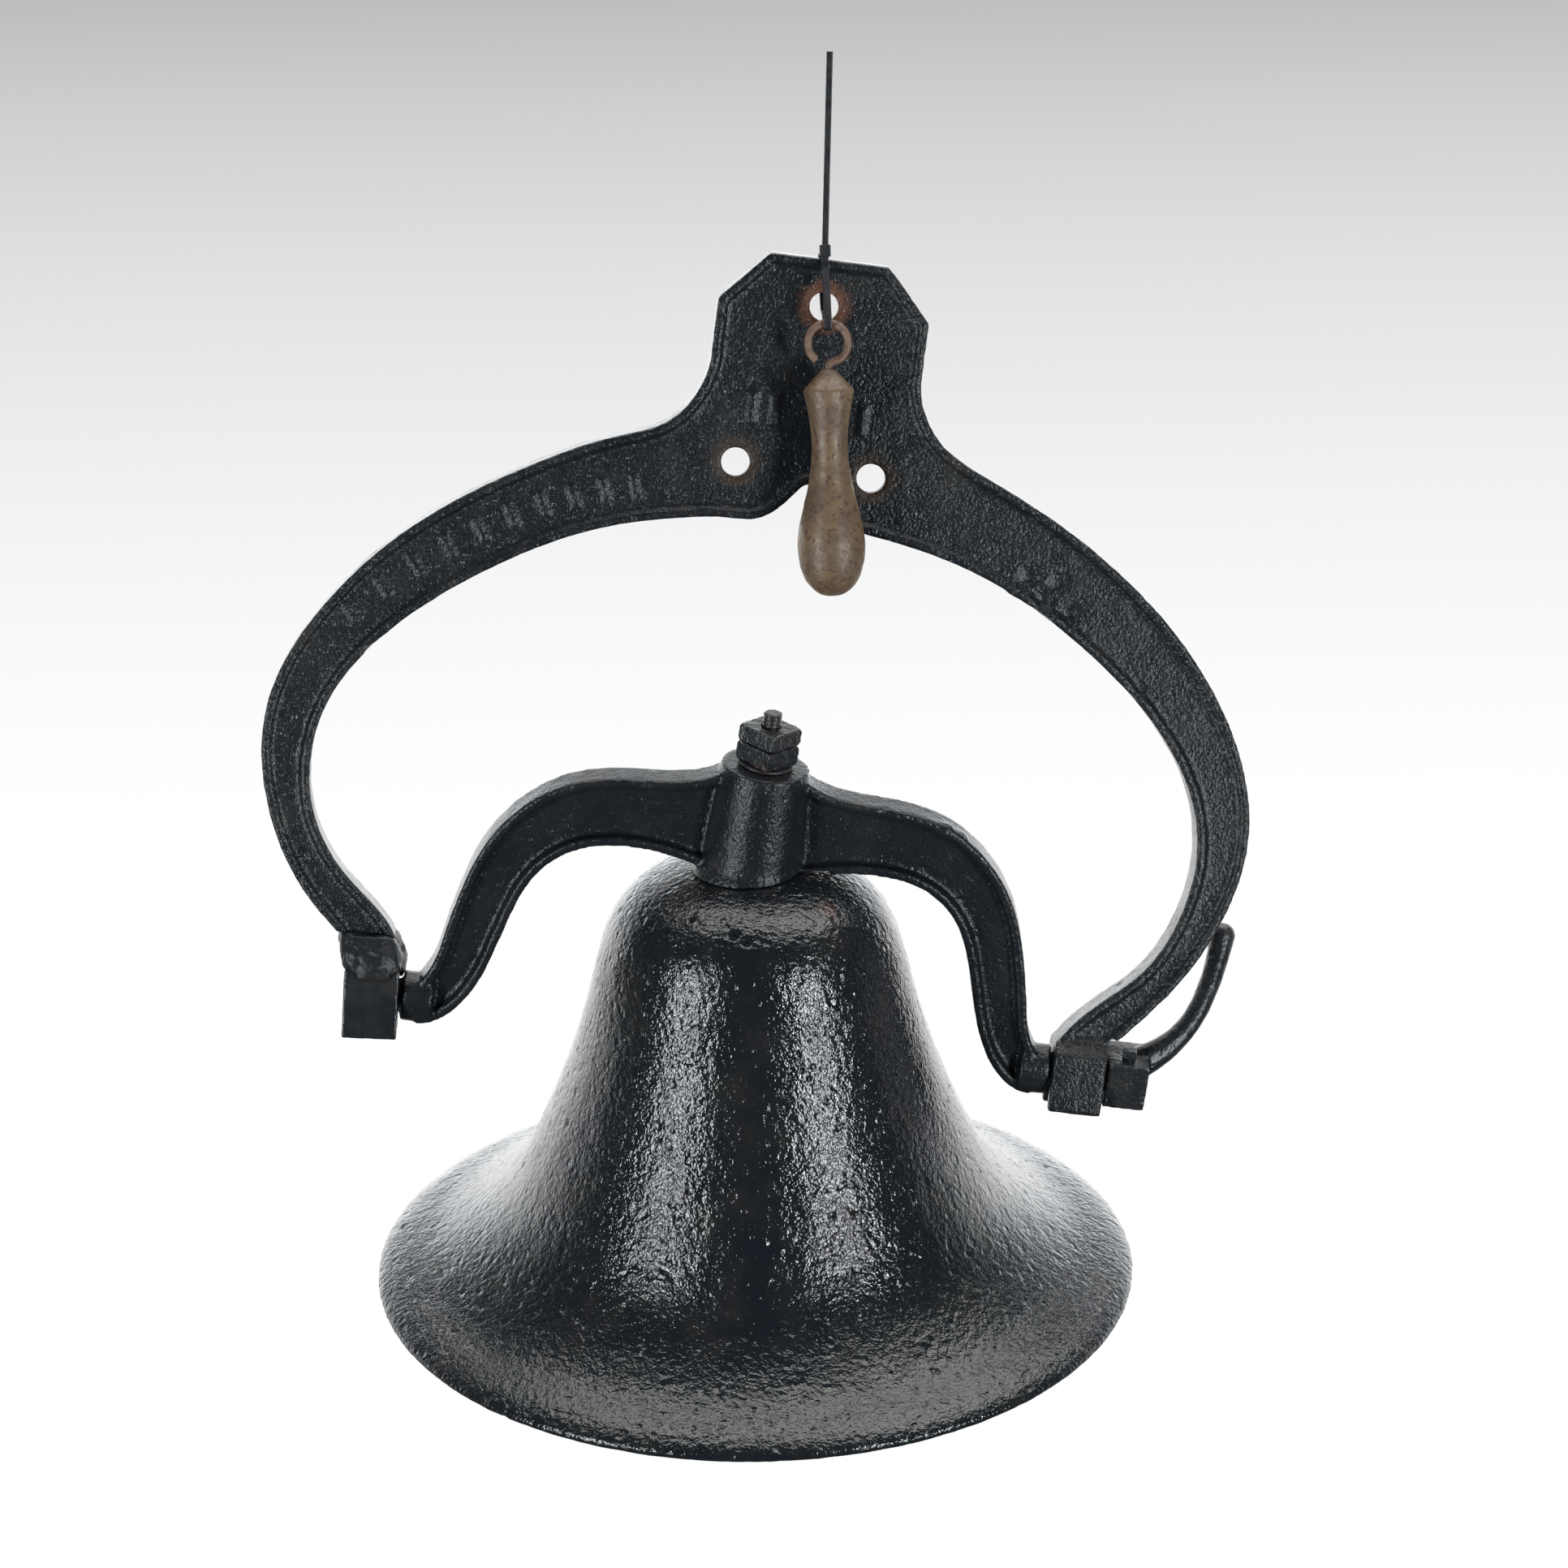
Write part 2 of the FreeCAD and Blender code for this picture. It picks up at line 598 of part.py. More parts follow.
def crank_lever():
    """Square hub on the trunnion's end, with a curved, tapering lever growing out of it."""
    inner = dim("hub_inner")
    corner = Vector(inner, -dim("hub_ahead"), -dim("hub_high") / 2)
    hub = box("crank_hub", corner, Length="hub_outer - hub_inner",
              Width="hub_ahead + hub_behind", Height="hub_high")
    rings = []
    spots = [Vector(*spot) for spot in LEVER_PATH]
    for i, (spot, radius) in enumerate(zip(spots, LEVER_RADII)):
        along = spots[min(i + 1, len(spots) - 1)] - spots[max(i - 1, 0)]
        rings.append(Part.Wire(Part.Circle(spot, along, radius).toShape()))
    lever = named("Part::Feature", "lever_bar")
    lever.Shape = Part.makeLoft(rings, True)
    tip = bind(named("Part::Sphere", "lever_tip"), Radius=str(LEVER_RADII[-1]))
    tip.Placement = Placement(spots[-1], Rotation())
    bore = cylinder("hub_bore", Vector(inner - 1, 0, 0), Vector(1, 0, 0),
                    Radius="trunnion_radius", Height="hub_outer - hub_inner + 2")
    centre = (inner + dim("hub_outer")) / 2
    thread = cylinder("screw_hole", Vector(centre, -dim("screw_ahead"), 0),
                      Radius="screw_radius", Height="hub_high")
    part = cut("crank_lever", fuse("crank_solid", hub, lever, tip),
               fuse("crank_holes", bore, thread))
    part.Placement = YOKE
    return part


def crank_screw():
    centre = (dim("hub_inner") + dim("hub_outer")) / 2
    ahead = -dim("screw_ahead")
    half = dim("screw_head") / 2
    shank = cylinder("screw_shank", Vector(centre, ahead, dim("trunnion_radius")),
                     Radius="screw_radius",
                     Height="hub_high / 2 - trunnion_radius + screw_proud * 2")
    head = box("screw_head_block",
               Vector(centre - half, ahead - half, dim("hub_high") / 2 + dim("screw_proud")),
               Length="screw_head", Width="screw_head", Height="screw_head_high")
    part = fuse("crank_screw", shank, head)
    part.Placement = YOKE
    return part


# ---------------------------------------------------------------- clapper and cable tie

HANG_TURN = BRACKET_TURN * Rotation(Vector(0, 1, 0), -dim("side_tilt"))
ring_middle = Vector(dim("clapper_shift"), -dim("clapper_front"), dim("clapper_high"))
TIE = Placement(BRACKET.multVec(ring_middle), HANG_TURN)
CLAPPER = Placement(BRACKET.multVec(ring_middle)
                    + HANG_TURN.multVec(Vector(0, 0, dim("ring_radius"))), HANG_TURN)
CLAPPER = CLAPPER.multiply(Placement(Vector(), Rotation(Vector(1, 0, 0), -dim("clapper_lean"))))
CLAPPER = CLAPPER.multiply(Placement(Vector(0, 0, -dim("ring_radius")), Rotation()))

CLAPPER_CONE = [(0, -12), (3, -12), (12, -21.8), (12.4, -23.2)]
CLAPPER_SIDE = [
    (12.4, -23.2), (10.6, -32), (9.2, -42), (8.9, -50), (9.6, -60), (12.2, -74), (15.4, -87),
    (16.5, -97), (15.2, -108), (11.2, -116.5), (5, -121.2), (0, -121.8),
]


def clapper_body():
    """Cast club: a cone over a collar, a slim neck and a round bulb."""
    pieces = [CLAPPER_CONE[i:i + 2] for i in range(len(CLAPPER_CONE) - 1)]
    pieces += [CLAPPER_SIDE, [CLAPPER_SIDE[-1], CLAPPER_CONE[0]]]
    solid = revolve("clapper_club", pieces)
    socket = cylinder("clapper_socket", Vector(0, 0, -dim("cone_top") - dim("shank_long")),
                      Radius="wire_radius", Height="shank_long")
    part = cut("clapper_body", solid, socket)
    part.Placement = CLAPPER
    return part


# The hook's wire runs round its ring from its open tip to its neck, in degrees from +X.
HOOK_TIP = -125
HOOK_NECK = -48


def clapper_hook():
    """Wrought hook: an open ring whose shank drops into the clapper's cone."""
    reach = dim("ring_radius")

    def at(angle):
        spin = math.radians(angle)
        return Vector(reach * math.cos(spin), 0, reach * math.sin(spin))

    ring = Part.Arc(at(HOOK_TIP), at(90), at(HOOK_NECK)).toShape()
    leave = at(HOOK_NECK)
    neck = Vector(0, 0, -dim("cone_top"))
    inwards = Vector(math.sin(math.radians(HOOK_NECK)), 0, -math.cos(math.radians(HOOK_NECK)))
    curve = Part.BSplineCurve()
    curve.interpolate([leave, neck], InitialTangent=inwards * reach,
                      FinalTangent=Vector(0, 0, -reach))
    bend = curve.toShape()
    shank = Part.LineSegment(neck, neck + Vector(0, 0, -dim("shank_long"))).toShape()
    facing = Vector(math.sin(math.radians(HOOK_TIP)), 0, -math.cos(math.radians(HOOK_TIP)))
    start = Part.Wire(Part.Circle(at(HOOK_TIP), facing, dim("wire_radius")).toShape())
    sweep = Part.BRepOffsetAPI.MakePipeShell(Part.Wire([ring, bend, shank]))
    sweep.setTransitionMode(2)
    sweep.add(start)
    sweep.build()
    sweep.makeSolid()
    part = named("Part::Feature", "clapper_hook")
    part.Shape = sweep.shape()
    part.Placement = CLAPPER
    return part


# The tie's loop, depth from the clapper hook and height above the ring's middle: down from the
# head, under the hook's wire, through the top hole, up behind the plate and back over its edge.
TIE_LOOP = [
    (11.4, 42.6), (11.4, 38), (-3.2, 12.5), (-2.9, 7.6), (0, 6.4), (2.9, 7.3), (15, 11.6),
    (25, 13.6), (37.4, 28), (37.4, 40.2), (35.8, 41.6),
]


def cable_tie():
    loop = Part.makePolygon([Vector(0, y, z) for y, z in TIE_LOOP + TIE_LOOP[:1]])
    half = dim("strap_thick") / 2
    band = Part.Face(loop.makeOffset2D(half)).cut(Part.Face(loop.makeOffset2D(-half)))
    band.translate(Vector(-dim("strap_width") / 2, 0, 0))
    strap = band.extrude(Vector(dim("strap_width"), 0, 0))
    front, level = TIE_LOOP[0]
    wide = dim("head_wide")
    deep = dim("head_deep")
    foot = level - dim("head_drop")
    head = Part.makeBox(wide, deep, dim("head_high"), Vector(-wide / 2, front - deep / 2, foot))
    tail = Part.makeBox(dim("tail_width"), dim("strap_thick"), dim("tail_length"),
                        Vector(-dim("tail_width") / 2, -half, 0))
    tail.Placement = Placement(Vector(0, front, level),
                               Rotation(Vector(0, 1, 0), dim("tail_lean")))
    part = named("Part::Feature", "cable_tie")
    part.Shape = strap.fuse([head, tail]).removeSplitter()
    part.Placement = TIE
    return part


# ---------------------------------------------------------------- build, check and write

washer_top = dim("boss_top") + dim("washer_thick")
PARTS = [
    hanger_bracket(), repair_bearing(), weld_bead(), yoke(), bell(), clapper_bolt(),
    bevel_washer(), boss_washer(), square_nut("lower_nut", washer_top, "lower_nut_high", 45),
    square_nut("jam_nut", washer_top + dim("lower_nut_high"), "jam_nut_high", 49),
    crank_lever(), crank_screw(), clapper_body(), clapper_hook(), cable_tie(),
]
doc.recompute()

for item in doc.Objects:
    if "Invalid" in item.State or "Error" in item.State:
        raise RuntimeError(f"{item.Label} failed: {item.State}")
os.makedirs("parts", exist_ok=True)
for item in PARTS:
    if item.Shape.isNull() or not item.Shape.isValid():
        raise RuntimeError(f"{item.Label} has no valid shape")
    print(item.Label, len(item.Shape.Solids), round(item.Shape.Volume / 1000, 2), "cm3")
    item.Shape.exportStep(f"parts/{item.Label}.step")
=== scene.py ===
# %% [markdown]
# # A yard dinner bell
# The bell hangs from a curved yoke, the yoke turns in a harp-shaped bracket, and the clapper is
# tied to the bracket's plate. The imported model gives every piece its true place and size. This
# script adds what paint, rust and rough casting look like, and then lights the bell.

# %% Load the model
import bpy
import json
import math
import random
from mathutils import Matrix, Vector, kdtree, noise


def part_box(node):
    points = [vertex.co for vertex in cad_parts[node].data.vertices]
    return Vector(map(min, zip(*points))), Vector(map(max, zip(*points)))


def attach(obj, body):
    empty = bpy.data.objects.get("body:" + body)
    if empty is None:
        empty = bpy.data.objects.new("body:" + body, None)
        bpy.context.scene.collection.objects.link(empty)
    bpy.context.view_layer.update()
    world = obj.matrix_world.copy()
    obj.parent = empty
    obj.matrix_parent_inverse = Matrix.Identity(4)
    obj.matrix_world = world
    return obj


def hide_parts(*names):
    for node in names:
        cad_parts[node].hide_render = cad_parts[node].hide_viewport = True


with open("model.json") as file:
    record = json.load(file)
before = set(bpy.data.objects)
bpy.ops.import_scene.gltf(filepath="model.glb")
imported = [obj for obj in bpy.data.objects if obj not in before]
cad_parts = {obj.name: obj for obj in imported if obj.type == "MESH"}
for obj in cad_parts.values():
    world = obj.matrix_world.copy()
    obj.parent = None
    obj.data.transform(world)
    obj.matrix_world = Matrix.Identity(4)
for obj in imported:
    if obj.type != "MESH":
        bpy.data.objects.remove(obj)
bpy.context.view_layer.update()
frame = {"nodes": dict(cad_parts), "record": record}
MM = 0.001

# %% [markdown]
# ## Where things are
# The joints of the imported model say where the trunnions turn, which way the bracket's plate
# faces and where its top hole is. The mounts are its two lower holes. Three directions follow:
# along the trunnions, out of the plate's front, and up the plate.

# %% Read places from the joints
joints = {joint["name"]: joint for joint in frame["record"]["behaviour"]["joints"]}
trunnion_middle = Vector(joints["bell_swing"]["pos_m"])
along_trunnions = Vector(joints["bell_swing"]["axis"]).normalized()
plate_front = Vector(joints["tie_swivel"]["axis"]).normalized()
plate_up = along_trunnions.cross(-plate_front).normalized()
top_hole = Vector(joints["tie_swivel"]["pos_m"])
low_holes = [Vector(mount["pos_m"]) for mount in frame["record"]["mounts"]]
bell_low, bell_high = (Vector(corner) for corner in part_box("bell"))
bell_axis = (bell_low + bell_high) / 2
crown = Vector((bell_axis.x, bell_axis.y, bell_high.z))
print("trunnions", trunnion_middle, "plate faces", plate_front)


def on_plate(along, front, up):
    """A point given along the trunnions, ahead of them and up the plate, in millimetres."""
    return trunnion_middle + (along_trunnions * along + plate_front * front + plate_up * up) * MM


def plate_place(point):
    """The reverse: millimetres along, ahead and up."""
    away = (point - trunnion_middle) / MM
    return away.dot(along_trunnions), away.dot(plate_front), away.dot(plate_up)


# %% [markdown]
# ## Rough castings
# Sand-cast iron has no sharp edge: the pattern's corners are rounded and the sand leaves a
# gently uneven skin. A bevel on each edge would be too even and breaks where curves meet. So each
# casting is copied, rebuilt as an even net of small quads, smoothed a little, and pressed
# inwards by a soft noise, so that it doesn't grow past the model's box. Only the weld is swollen
# outwards, because its lumps stand proud and lie well inside that box.

# %% Helpers for castings
FINE_WAVE = 0.36  # the fine noise's wave, as a share of the broad one's
BROAD_PART = 0.6
FINE_PART = 0.35


def drop(mesh):
    if mesh.users == 0:
        bpy.data.meshes.remove(mesh)


def settle(piece):
    """Apply the piece's modifiers to its mesh."""
    graph = bpy.context.evaluated_depsgraph_get()
    final = bpy.data.meshes.new_from_object(piece.evaluated_get(graph))
    old = piece.data
    piece.modifiers.clear()
    piece.data = final
    drop(old)


def copy_of(node):
    """A copy of a node's mesh as a new piece, with the seams between its faces closed."""
    piece = bpy.data.objects.new(node + "_skin", frame["nodes"][node].data.copy())
    bpy.context.scene.collection.objects.link(piece)
    weld = piece.modifiers.new("weld", "WELD")
    weld.merge_threshold = 0.002 * MM
    settle(piece)
    return piece


def cast_copy(node, net, rounds, hollow=0.0, wave=9.0):
    """A rounded, uneven copy: net, hollow and wave are in millimetres, as press takes them."""
    piece = copy_of(node)
    remesh = piece.modifiers.new("net", "REMESH")
    remesh.mode = "VOXEL"
    remesh.voxel_size = net * MM * 1
    smooth = piece.modifiers.new("round", "SMOOTH")
    smooth.factor = 0.5
    smooth.iterations = rounds
    settle(piece)
    if hollow:
        press(piece.data, hollow, wave)
    for face in piece.data.polygons:
        face.use_smooth = True
    print(node, "has", len(piece.data.vertices), "points")
    return piece


def press(mesh, depth, wave):
    """Push points inwards by a soft noise of that depth and wave, or outwards below zero."""
    moves = []
    for point in mesh.vertices:
        broad = noise.noise(point.co / (wave * MM))
        fine = noise.noise(point.co / (wave * FINE_WAVE * MM))
        share = 0.5 + BROAD_PART * broad + FINE_PART * fine
        moves.append(depth * MM * min(1, max(0, share)))
    normals = [point.normal.copy() for point in mesh.vertices]
    for point, normal, move in zip(mesh.vertices, normals, moves):
        point.co -= normal * move


def dent(mesh, spots):
    """Push in round hollows, or out lumps: each spot is (centre, radius, depth) in metres."""
    tree = kdtree.KDTree(len(mesh.vertices))
    for index, point in enumerate(mesh.vertices):
        tree.insert(point.co, index)
    tree.balance()
    normals = [point.normal.copy() for point in mesh.vertices]
    for centre, radius, depth in spots:
        for place, index, away in tree.find_range(centre, radius):
            share = 0.5 + 0.5 * math.cos(math.pi * away / radius)
            mesh.vertices[index].co -= normals[index] * depth * share


# %% [markdown]
# ## The bell
# The bell's skin is the roughest: blow holes near its crown and small pits all over, where sand
# and gas sat against the iron. The pits are pushed into the net itself, so that they catch the
# light as the real ones do.

# %% Make the bell


def scatter(mesh, count, widths, depths):
    """Spots at random points of a mesh, with radius and depth drawn from ranges in millimetres."""
    spots = []
    points = mesh.vertices
    for _ in range(count):
        point = points[random.randrange(len(points))]
        spots.append((point.co.copy(), random.uniform(*widths) * MM, random.uniform(*depths) * MM))
    return spots


# Each blow hole: degrees round from the front, then millimetres down, wide and deep.
BLOW_HOLES = [
    (-8.2, 9.5, 3.4, 2.6), (-2.7, 12.5, 3.2, 2.4), (-34, 6, 2.6, 1.4),
    (-44, 13, 2.4, 1.2), (26, 22, 2.4, 1.0), (-8, 30, 2.2, 0.9),
]
CROWN_RADIUS = 47.5
CROWN_SLOPE = 0.95
random.seed(15)
bell = cast_copy("bell", 1.5, 4, hollow=0.35, wave=11)
pits = scatter(bell.data, 420, (1.6, 3.2), (0.2, 0.8))
# Each blow hole is dented in and also kept as a spot of painted shade, where the paint loses its
# shine.
shaded_blow_holes = []
for turn, down, wide, deep in BLOW_HOLES:
    spin = math.radians(turn)
    reach = (CROWN_RADIUS + CROWN_SLOPE * down) * MM
    centre = crown + Vector((math.sin(spin) * reach, -math.cos(spin) * reach, -down * MM))
    nearest = min(bell.data.vertices, key=lambda point: (point.co - centre).length_squared)
    pits.append((nearest.co.copy(), wide * MM, deep * MM))
    shaded_blow_holes.append((nearest.co.copy(), 0.9 * wide * MM))
dent(bell.data, pits)
print("bell has", len(pits), "pits")

# %% [markdown]
# ## The bracket
# A flat web with a raised rim. Plain raised bars stand on the web, three on the plate and a row
# along the plain arm, which curves down as it goes. A band of rough metal crosses the crank-side
# arm.

# %% Make the bracket
WEB_FRONT = 7.4
WEB_BELOW = 1.2  # how far under and over its level the web's skin is found
WEB_ABOVE = 0.6
BAR_HIGH = 1.0
BAR_SLOPE = 1.2
# Each bar: millimetres along and up, half its width and height, and its lean in radians.
PLATE_BARS = [(along, 309, 2.2, 7.5, 0) for along in (-26.5, -15.5, 27.5)]
ARM_BARS = [(-78 - 14.4 * step, 263.5 - 2.6 * step - 0.66 * step ** 2, 2.0, 6.0,
             math.radians(19 + 3.1 * step)) for step in range(10)]
# Each scar: millimetres along and up, wide and deep. A depth below zero is a lump.
SCARS = [
    (118, 244, 7, 1.3), (126, 232, 8, 1.6), (133, 243, 7, 1.2), (140, 228, 6, 1.4),
    (110, 232, 6, -0.7), (128, 222, 7, 1.4), (178, 194, 6, 1.2), (-120, 214, 5, 1.2),
    (-108, 221, 5, 1.1), (190, 170, 6, 1.2), (-196, 170, 5, 1.2),
]


def bar_height(along, up):
    """How far a raised bar lifts the web at a place on the plate, from 0 to 1."""
    best = 0.0
    for middle, level, half_wide, half_high, lean in PLATE_BARS + ARM_BARS:
        across = (along - middle) * math.cos(lean) + (up - level) * math.sin(lean)
        upwards = (up - level) * math.cos(lean) - (along - middle) * math.sin(lean)
        edge = min(half_wide - abs(across), half_high - abs(upwards))
        best = max(best, min(1, max(0, edge / BAR_SLOPE + 0.5)))
    return best


bracket = cast_copy("hanger_bracket", 1.25, 3, hollow=0.3, wave=10)
facing = [point.normal.dot(plate_front) > 0.9 for point in bracket.data.vertices]
for point, faces_front in zip(bracket.data.vertices, facing):
    along, front, up = plate_place(point.co)
    if faces_front and WEB_FRONT - WEB_BELOW < front < WEB_FRONT + WEB_ABOVE:
        point.co += plate_front * bar_height(along, up) * BAR_HIGH * MM
scars = scatter(bracket.data, 150, (1.6, 3.4), (0.1, 0.6))
scars += [(on_plate(along, WEB_FRONT, up), wide * MM, deep * MM) for along, up, wide, deep in SCARS]
dent(bracket.data, scars)
bracket.data.update()

# %% [markdown]
# ## Yoke, repair, crank and small iron
# The yoke is a casting like the bracket, with a lump left on its crank-side arm. The
# replacement bearing is a sawn block, so its edges stay crisper, and the weld above it is a lumpy
# bead. The nuts and the set screw are hammered and worn.

# %% Make the yoke and the other iron pieces
# Each spot: millimetres along, ahead and up, then wide and deep. Below zero it is a lump.
YOKE_SPOTS = [
    (92, 5, 125, 7, -1.5), (99, 3, 121.5, 6, -1.2), (60, 8, 131, 5, 0.8), (-60, 8, 131, 6, 0.7),
    (18, 22, 132, 5, 0.8), (-18, 20, 104, 5, 0.8),
]
yoke = cast_copy("yoke", 1.1, 4, hollow=0.3, wave=8)
yoke_up = (crown - trunnion_middle).normalized()


def on_yoke(along, front, up):
    """A point along the trunnions, ahead of them and up the yoke's boss, in millimetres."""
    level = trunnion_middle + (along_trunnions * along + yoke_up * up) * MM
    return level + Vector((0, -front * MM, 0))


dent(yoke.data, [(on_yoke(along, front, up), wide * MM, deep * MM)
                 for along, front, up, wide, deep in YOKE_SPOTS])
weld = cast_copy("weld_bead", 0.9, 4, hollow=-1.6, wave=7)
block = cast_copy("repair_bearing", 0.8, 3, hollow=0.25, wave=9)
lever = cast_copy("crank_lever", 0.8, 4, hollow=0.3, wave=7)
screw = cast_copy("crank_screw", 0.4, 3, hollow=0.2, wave=3)
nuts = [cast_copy(node, 0.5, 4, hollow=0.5, wave=4) for node in ("lower_nut", "jam_nut")]
washers = [cast_copy(node, 0.45, 2, hollow=0.2, wave=4)
           for node in ("boss_washer", "bevel_washer")]

# %% [markdown]
# ## The clapper bolt's thread
# Only the end that stands out of the nuts shows. Its thread is cut as a real groove: every point
# on the side moves in by a wave that climbs round the bolt.

# %% Cut the thread
bolt = cast_copy("clapper_bolt", 0.5, 3, hollow=0.12, wave=3)
THREAD_PITCH = 1.9
THREAD_DEEP = 0.75
THREAD_START = 146.0
CORE_RADIUS = 3.84
for point in bolt.data.vertices:
    away = (point.co - trunnion_middle) / MM
    level = away.dot(yoke_up)
    side = away - yoke_up * level
    if level > THREAD_START and side.length > CORE_RADIUS:
        round_share = math.atan2(side.y, side.dot(along_trunnions)) / math.tau
        wave = 0.5 - 0.5 * math.cos(math.tau * (level / THREAD_PITCH - round_share))
        point.co -= side.normalized() * wave * THREAD_DEEP * MM

# %% [markdown]
# ## Clapper and cable tie
# The clapper is a turned pattern cast in iron, so it is smooth but grainy. Its hook is forged
# wire. The cable tie is moulded nylon with crisp, barely rounded edges.

# %% Make the clapper, its hook and the tie
clapper = cast_copy("clapper_body", 0.7, 3, hollow=0.25, wave=5)
hook = cast_copy("clapper_hook", 0.45, 4, hollow=0.25, wave=4)
tie = cast_copy("cable_tie", 0.3, 2)

# %% [markdown]
# ## Shared effects
# Three effects serve several materials, so each is a node group. *Skin* gives the height of a
# rough, pitted casting, *blotches* gives soft patches of a chosen size, and *ring* gives a
# ragged mask round a point, for rust that spread from a screw head and for the blow holes.

# %% Helpers for nodes


def put(tree, kind, **values):
    """Add a node; values name its properties or its inputs."""
    node = tree.nodes.new(kind)
    for name, value in values.items():
        label = name.replace("_", " ").lower()
        sockets = {socket.name.lower(): socket for socket in reversed(node.inputs)}
        if hasattr(node, name):
            setattr(node, name, value)
        else:
            sockets[label].default_value = value
    return node


def join(tree, source, target):
    tree.links.new(source, target)


def new_group(name, inputs, outputs):
    """A node group with float or vector inputs and float outputs."""
    tree = bpy.data.node_groups.new(name, "ShaderNodeTree")
    for label, kind in inputs:
        tree.interface.new_socket(label, in_out="INPUT", socket_type=kind)
    for label in outputs:
        tree.interface.new_socket(label, in_out="OUTPUT", socket_type="NodeSocketFloat")
    return tree, tree.nodes.new("NodeGroupInput"), tree.nodes.new("NodeGroupOutput")


def maths(tree, operation, first, second):
    """Join two values, each a socket or a number, by an operation."""
    node = put(tree, "ShaderNodeMath", operation=operation)
    for socket, value in zip(node.inputs, (first, second)):
        if isinstance(value, (int, float)):
            socket.default_value = value
        else:
            join(tree, value, socket)
    return node.outputs[0]


def band(tree, value, low, high, from_low=0.0, to_high=1.0):
    """Stretch a value so that low becomes from_low and high becomes to_high, clamped."""
    node = put(tree, "ShaderNodeMapRange", clamp=True)
    join(tree, value, node.inputs["Value"])
    for name, number in (("From Min", low), ("From Max", high), ("To Min", from_low),
                         ("To Max", to_high)):
        node.inputs[name].default_value = number
    return node.outputs["Result"]


# %% Build the groups
skin, given, result = new_group(
    "casting_skin", [("Vector", "NodeSocketVector"), ("Grains", "NodeSocketFloat")], ["Height"])
coarse = put(skin, "ShaderNodeTexNoise", detail=2.0, roughness=0.55)
fine = put(skin, "ShaderNodeTexNoise", detail=1.0)
cells = put(skin, "ShaderNodeTexVoronoi", feature="SMOOTH_F1")
for node, share in ((coarse, 1.0), (fine, 3.1), (cells, 0.45)):
    join(skin, given.outputs["Vector"], node.inputs["Vector"])
    join(skin, maths(skin, "MULTIPLY", given.outputs["Grains"], share), node.inputs["Scale"])
pit_mask = band(skin, cells.outputs["Distance"], 0.08, 0.26, 1.0, 0.0)
grainy = maths(skin, "ADD", coarse.outputs["Fac"],
               maths(skin, "MULTIPLY", fine.outputs["Fac"], 0.3))
join(skin, maths(skin, "SUBTRACT", grainy, maths(skin, "MULTIPLY", pit_mask, 0.5)),
     result.inputs["Height"])

blotches, given, result = new_group(
    "blotches", [("Vector", "NodeSocketVector"), ("Scale", "NodeSocketFloat"),
                 ("Low", "NodeSocketFloat"), ("High", "NodeSocketFloat")], ["Mask"])
cloud = put(blotches, "ShaderNodeTexNoise", detail=5.0, roughness=0.65)
join(blotches, given.outputs["Vector"], cloud.inputs["Vector"])
join(blotches, given.outputs["Scale"], cloud.inputs["Scale"])
spread = put(blotches, "ShaderNodeMapRange", clamp=True)
join(blotches, cloud.outputs["Fac"], spread.inputs["Value"])
join(blotches, given.outputs["Low"], spread.inputs["From Min"])
join(blotches, given.outputs["High"], spread.inputs["From Max"])
join(blotches, spread.outputs["Result"], result.inputs["Mask"])

ring, given, result = new_group(
    "rust_ring", [("Vector", "NodeSocketVector"), ("Centre", "NodeSocketVector"),
                  ("Reach", "NodeSocketFloat")], ["Mask"])
away = put(ring, "ShaderNodeVectorMath", operation="DISTANCE")
join(ring, given.outputs["Vector"], away.inputs[0])
join(ring, given.outputs["Centre"], away.inputs[1])
ragged = put(ring, "ShaderNodeTexNoise", scale=260.0, detail=4.0)
join(ring, given.outputs["Vector"], ragged.inputs["Vector"])
share = maths(ring, "DIVIDE", away.outputs["Value"], given.outputs["Reach"])
loose = maths(ring, "MULTIPLY", ragged.outputs["Fac"], 0.5)
join(ring, band(ring, maths(ring, "ADD", share, loose), 0.95, 1.3, 1.0, 0.0),
     result.inputs["Mask"])
print("groups:", [group.name for group in bpy.data.node_groups])

# %% [markdown]
# ## Black paint over iron
# Brushed black enamel fills the smallest pores and shines on the grains between them. Colour
# hardly shows; what reads is the gloss, broken up by the grain, with dull brownish patches where
# dust and rust show through. One recipe serves every painted piece, with its own numbers. In the
# blow holes the shine is turned off: painted shade, so that they read dark.

# %% The paint recipe
INK = (0.0075, 0.0098, 0.0125)
DUST = (0.024, 0.019, 0.016)
RUST = (0.1, 0.036, 0.014)
DARK_RUST = (0.034, 0.019, 0.011)
PAINT_GRAIN_HIGH = 0.9
RUST_GRAIN_HIGH = 0.4


def use(tree, group, vector, **values):
    node = put(tree, "ShaderNodeGroup", node_tree=group)
    join(tree, vector, node.inputs["Vector"])
    for name, value in values.items():
        node.inputs[name].default_value = value
    return node


def tint(tree, mask, below, above):
    """Mix two colours, or a socket and a colour, by a mask."""
    mix = put(tree, "ShaderNodeMix", data_type="RGBA")
    join(tree, mask, mix.inputs["Factor"])
    for socket, value in ((mix.inputs["A"], below), (mix.inputs["B"], above)):
        if isinstance(value, tuple):
            socket.default_value = (*value, 1)
        else:
            join(tree, value, socket)
    return mix.outputs["Result"]


def new_material(name):
    material = bpy.data.materials.new(name)
    material.use_nodes = True
    tree = material.node_tree
    shader = tree.nodes["Principled BSDF"]
    place = put(tree, "ShaderNodeTexCoord").outputs["Object"]
    return material, tree, shader, place


